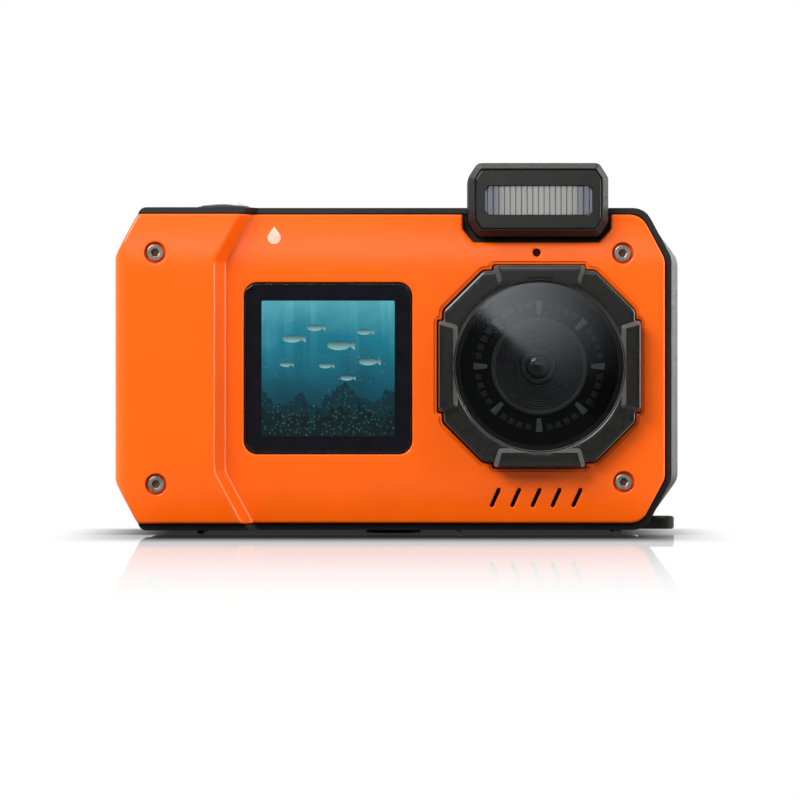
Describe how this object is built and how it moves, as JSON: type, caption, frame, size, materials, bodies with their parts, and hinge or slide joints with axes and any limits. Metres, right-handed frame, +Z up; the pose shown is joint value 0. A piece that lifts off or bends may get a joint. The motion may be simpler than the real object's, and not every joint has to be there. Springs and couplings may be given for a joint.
{
  "type": "rugged compact camera",
  "caption": "Rugged compact camera with an octagonal lens port, a square front screen, a flash head, sprung keys and a hinged battery door.",
  "frame": {"origin": "mouth of the tripod socket, on the plane the camera stands on, midway between the front case's side walls", "axes": "+X to the right seen from the front, the front faces -Y, +Z up"},
  "size_m": [0.1165, 0.0372, 0.0763],
  "materials": {
    "orange_paint": "satin orange paint on a moulded cover",
    "black_plastic": "fine-grained black",
    "smooth_black": "satin black",
    "port_glass": "clear, polished",
    "window_glass": "smoked round its edge",
    "dark_metal": "black anodised",
    "grey_marks": "matt grey",
    "lens_coat": "coated",
    "steel": "stainless",
    "spring_steel": "bright",
    "brass": "turned",
    "rubber": "matt",
    "seal_rubber": "matt yellow silicone",
    "board": "green solder mask",
    "tin_can": "tin plated",
    "reef_screen": "lit screen",
    "rear_screen": "unlit screen",
    "frosted_lens": "ribbed",
    "mirror_film": "polished",
    "sleeve_blue": "shrink sleeve",
    "battery_grey": "label film",
    "sensor_glass": "coated"
  },
  "bodies": {
    "camera": {"front_cover": "orange_paint", "cover_screws": "steel", "front_case": "black_plastic", "rear_case": "black_plastic", "case_gasket": "rubber", "case_screws": "steel", "lens_bezel": "smooth_black", "lens_glass": "port_glass", "lens_seal": "rubber", "dial_ring": "dark_metal", "dial_marks": "grey_marks", "lens_cone": "dark_metal", "lens_barrel": "dark_metal", "front_element": "lens_coat", "rear_element": "lens_coat", "image_sensor": "sensor_glass", "sensor_board": "board", "front_window": "window_glass", "front_panel": "reef_screen", "flash_housing": "black_plastic", "flash_plate": "smooth_black", "flash_lens": "frosted_lens", "flash_reflector": "mirror_film", "flash_tube": "port_glass", "flash_capacitor": "sleeve_blue", "shutter_spring": "spring_steel", "shutter_seal": "rubber", "rocker_pin": "spring_steel", "key_mat": "rubber", "dome_switches": "tin_can", "rear_window": "window_glass", "rear_panel": "rear_screen", "display_frame": "tin_can", "main_board": "board", "board_shield": "tin_can", "battery_bay": "black_plastic", "battery": "battery_grey", "card_socket": "tin_can", "memory_card": "smooth_black", "usb_port": "tin_can", "hinge_pin": "spring_steel", "speaker": "dark_metal", "microphone": "tin_can", "tripod_insert": "brass", "base_pads": "rubber"},
    "shutter": {"shutter_button": "smooth_black"},
    "power": {"power_button": "smooth_black"},
    "rocker": {"zoom_rocker": "smooth_black"},
    "door": {"battery_door": "black_plastic", "door_gasket": "seal_rubber"},
    "latch": {"door_latch": "smooth_black"},
    "key_up": {"key_up": "smooth_black"},
    "key_down": {"key_down": "smooth_black"},
    "key_left": {"key_left": "smooth_black"},
    "key_right": {"key_right": "smooth_black"},
    "key_ok": {"key_ok": "smooth_black"},
    "key_mode": {"key_mode": "smooth_black"},
    "key_play": {"key_play": "smooth_black"},
    "key_menu": {"key_menu": "smooth_black"},
    "key_screen": {"key_screen": "smooth_black"}
  },
  "joints": [
    {"name": "shutter_press", "type": "slide", "parent": "camera", "child": "shutter", "axis": [0, 0, -1], "range_m": [0, 0.001], "stiffness_N_per_m": 1500, "springref_m": -0.0004, "deforming": ["shutter_spring"]},
    {"name": "power_press", "type": "slide", "parent": "camera", "child": "power", "axis": [0, 0, -1], "range_m": [0, 0.0006], "stiffness_N_per_m": 2000, "springref_m": -0.0002},
    {"name": "zoom_tilt", "type": "hinge", "parent": "camera", "child": "rocker", "pos_m": [-0.0345, 0.0132, 0.0595], "axis": [0, 0, 1], "range_deg": [-5, 5], "stiffness_Nm_per_rad": 0.06},
    {"name": "up_press", "type": "slide", "parent": "camera", "child": "key_up", "axis": [0, -1, 0], "range_m": [0, 0.0006], "stiffness_N_per_m": 2000, "springref_m": -0.0001},
    {"name": "down_press", "type": "slide", "parent": "camera", "child": "key_down", "axis": [0, -1, 0], "range_m": [0, 0.0006], "stiffness_N_per_m": 2000, "springref_m": -0.0001},
    {"name": "left_press", "type": "slide", "parent": "camera", "child": "key_left", "axis": [0, -1, 0], "range_m": [0, 0.0006], "stiffness_N_per_m": 2000, "springref_m": -0.0001},
    {"name": "right_press", "type": "slide", "parent": "camera", "child": "key_right", "axis": [0, -1, 0], "range_m": [0, 0.0006], "stiffness_N_per_m": 2000, "springref_m": -0.0001},
    {"name": "ok_press", "type": "slide", "parent": "camera", "child": "key_ok", "axis": [0, -1, 0], "range_m": [0, 0.0006], "stiffness_N_per_m": 2000, "springref_m": -0.0001},
    {"name": "mode_press", "type": "slide", "parent": "camera", "child": "key_mode", "axis": [0, -1, 0], "range_m": [0, 0.0006], "stiffness_N_per_m": 2000, "springref_m": -0.0001},
    {"name": "play_press", "type": "slide", "parent": "camera", "child": "key_play", "axis": [0, -1, 0], "range_m": [0, 0.0006], "stiffness_N_per_m": 2000, "springref_m": -0.0001},
    {"name": "menu_press", "type": "slide", "parent": "camera", "child": "key_menu", "axis": [0, -1, 0], "range_m": [0, 0.0006], "stiffness_N_per_m": 2000, "springref_m": -0.0001},
    {"name": "screen_press", "type": "slide", "parent": "camera", "child": "key_screen", "axis": [0, -1, 0], "range_m": [0, 0.0006], "stiffness_N_per_m": 2000, "springref_m": -0.0001},
    {"name": "door_swing", "type": "hinge", "parent": "camera", "child": "door", "pos_m": [-0.0557, 0.0133, 0.034], "axis": [0, 0, -1], "range_deg": [0, 95]},
    {"name": "latch_slide", "type": "slide", "parent": "door", "child": "latch", "axis": [0, -1, 0], "range_m": [0, 0.001]}
  ]
}
